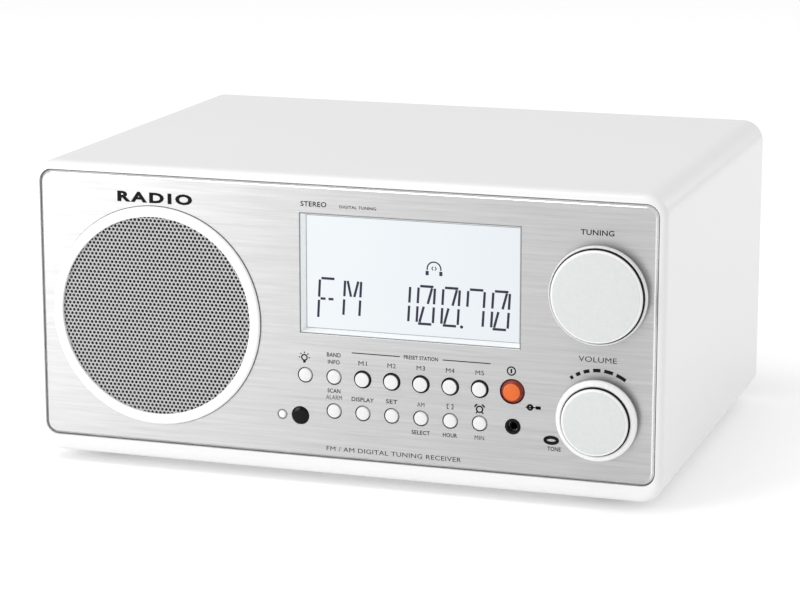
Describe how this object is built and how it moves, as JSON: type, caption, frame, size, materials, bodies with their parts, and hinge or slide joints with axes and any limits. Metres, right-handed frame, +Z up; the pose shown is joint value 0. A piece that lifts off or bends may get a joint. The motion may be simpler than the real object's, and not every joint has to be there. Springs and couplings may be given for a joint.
{
  "type": "tabletop radio",
  "caption": "Box-shaped white tabletop radio: brushed metal front with round speaker grille, backlit display, push buttons and two knobs; sockets at the back.",
  "frame": {"origin": "middle of the footprint, at the underside of the feet", "axes": "+X to the right of someone facing the front, +Y from front to back, +Z up"},
  "size_m": [0.243, 0.1906, 0.1165],
  "materials": {
    "white_lacquer": "satin white lacquer over wood",
    "brushed_aluminium": "horizontally brushed, clear anodised",
    "black_plastic": "fine moulded texture",
    "white_plastic": "smooth moulded",
    "grille_steel": "perforated, light grey paint",
    "dust_cloth": "black woven",
    "foam_rubber": "soft",
    "speaker_steel": "zinc plated",
    "ferrite": "dull sintered",
    "paper_cone": "black pressed pulp",
    "copper_wire": "enamelled copper wire",
    "display_glass": "backlit liquid crystal panel",
    "silver_plastic": "smooth moulded, silver painted",
    "orange_plastic": "smooth moulded",
    "nickel": "nickel plated",
    "grey_plastic": "fine moulded texture",
    "smoked_plastic": "polished infrared window",
    "circuit_board": "solder mask",
    "tape": "polyester tape",
    "feet_rubber": "matt"
  },
  "bodies": {
    "radio": {"cabinet": "white_lacquer", "front_panel": "brushed_aluminium", "front_chassis": "black_plastic", "grille_ring": "white_plastic", "speaker_grille": "grille_steel", "grille_cloth": "dust_cloth", "speaker_gasket": "foam_rubber", "speaker_basket": "speaker_steel", "speaker_magnet": "ferrite", "speaker_yoke": "speaker_steel", "speaker_suspension": "foam_rubber", "lcd_bezel": "white_plastic", "lcd_glass": "display_glass", "lcd_light_guide": "white_plastic", "push_switches": "black_plastic", "encoders": "grey_plastic", "nuts": "nickel", "headphone_jack": "black_plastic", "remote_eye": "smoked_plastic", "indicator_lamp": "white_plastic", "control_board": "circuit_board", "main_board": "circuit_board", "board_standoffs": "nickel", "board_components": "black_plastic", "heat_sink": "brushed_aluminium", "transformer_core": "speaker_steel", "transformer_windings": "tape", "ferrite_rod": "ferrite", "ferrite_coil": "copper_wire", "ferrite_clips": "grey_plastic", "rear_cover": "black_plastic", "mains_inlet": "black_plastic", "mains_pins": "nickel", "audio_sockets": "black_plastic", "aerial_socket": "nickel", "feet": "feet_rubber", "screws": "nickel"},
    "light_button": {"light_button": "white_plastic"},
    "band_button": {"band_button": "white_plastic"},
    "preset_1_button": {"preset_1_button": "silver_plastic"},
    "preset_2_button": {"preset_2_button": "silver_plastic"},
    "preset_3_button": {"preset_3_button": "silver_plastic"},
    "preset_4_button": {"preset_4_button": "silver_plastic"},
    "preset_5_button": {"preset_5_button": "silver_plastic"},
    "power_button": {"power_button": "orange_plastic"},
    "function_1_button": {"function_1_button": "white_plastic"},
    "function_2_button": {"function_2_button": "white_plastic"},
    "function_3_button": {"function_3_button": "white_plastic"},
    "function_4_button": {"function_4_button": "white_plastic"},
    "function_5_button": {"function_5_button": "white_plastic"},
    "function_6_button": {"function_6_button": "white_plastic"},
    "cone": {"speaker_cone": "paper_cone", "dust_cap": "paper_cone", "voice_coil": "copper_wire"},
    "tuning_control": {"tuning_knob": "white_plastic", "tuning_shaft": "nickel"},
    "volume_rotor": {"volume_rotor": "black_plastic"},
    "volume_control": {"volume_knob": "white_plastic", "volume_shaft": "nickel"}
  },
  "joints": [
    {"name": "light_press", "type": "slide", "parent": "radio", "child": "light_button", "axis": [0, 1, 0], "range_m": [0, 0.0006], "stiffness_N_per_m": 800},
    {"name": "band_press", "type": "slide", "parent": "radio", "child": "band_button", "axis": [0, 1, 0], "range_m": [0, 0.0006], "stiffness_N_per_m": 800},
    {"name": "preset_1_press", "type": "slide", "parent": "radio", "child": "preset_1_button", "axis": [0, 1, 0], "range_m": [0, 0.0006], "stiffness_N_per_m": 800},
    {"name": "preset_2_press", "type": "slide", "parent": "radio", "child": "preset_2_button", "axis": [0, 1, 0], "range_m": [0, 0.0006], "stiffness_N_per_m": 800},
    {"name": "preset_3_press", "type": "slide", "parent": "radio", "child": "preset_3_button", "axis": [0, 1, 0], "range_m": [0, 0.0006], "stiffness_N_per_m": 800},
    {"name": "preset_4_press", "type": "slide", "parent": "radio", "child": "preset_4_button", "axis": [0, 1, 0], "range_m": [0, 0.0006], "stiffness_N_per_m": 800},
    {"name": "preset_5_press", "type": "slide", "parent": "radio", "child": "preset_5_button", "axis": [0, 1, 0], "range_m": [0, 0.0006], "stiffness_N_per_m": 800},
    {"name": "power_press", "type": "slide", "parent": "radio", "child": "power_button", "axis": [0, 1, 0], "range_m": [0, 0.0006], "stiffness_N_per_m": 800},
    {"name": "function_1_press", "type": "slide", "parent": "radio", "child": "function_1_button", "axis": [0, 1, 0], "range_m": [0, 0.0006], "stiffness_N_per_m": 800},
    {"name": "function_2_press", "type": "slide", "parent": "radio", "child": "function_2_button", "axis": [0, 1, 0], "range_m": [0, 0.0006], "stiffness_N_per_m": 800},
    {"name": "function_3_press", "type": "slide", "parent": "radio", "child": "function_3_button", "axis": [0, 1, 0], "range_m": [0, 0.0006], "stiffness_N_per_m": 800},
    {"name": "function_4_press", "type": "slide", "parent": "radio", "child": "function_4_button", "axis": [0, 1, 0], "range_m": [0, 0.0006], "stiffness_N_per_m": 800},
    {"name": "function_5_press", "type": "slide", "parent": "radio", "child": "function_5_button", "axis": [0, 1, 0], "range_m": [0, 0.0006], "stiffness_N_per_m": 800},
    {"name": "function_6_press", "type": "slide", "parent": "radio", "child": "function_6_button", "axis": [0, 1, 0], "range_m": [0, 0.0006], "stiffness_N_per_m": 800},
    {"name": "cone_stroke", "type": "slide", "parent": "radio", "child": "cone", "axis": [0, 1, 0], "range_m": [-0.0015, 0.0015], "stiffness_N_per_m": 1200, "deforming": ["speaker_suspension"]},
    {"name": "tuning_turn", "type": "hinge", "parent": "radio", "child": "tuning_control", "pos_m": [0.098, -0.08825, 0.0801], "axis": [0, 1, 0], "continuous": true},
    {"name": "volume_turn", "type": "hinge", "parent": "radio", "child": "volume_rotor", "pos_m": [0.098, -0.08825, 0.0344], "axis": [0, 1, 0], "continuous": true},
    {"name": "volume_press", "type": "slide", "parent": "volume_rotor", "child": "volume_control", "axis": [0, 1, 0], "range_m": [0, 0.0006], "stiffness_N_per_m": 1200}
  ]
}
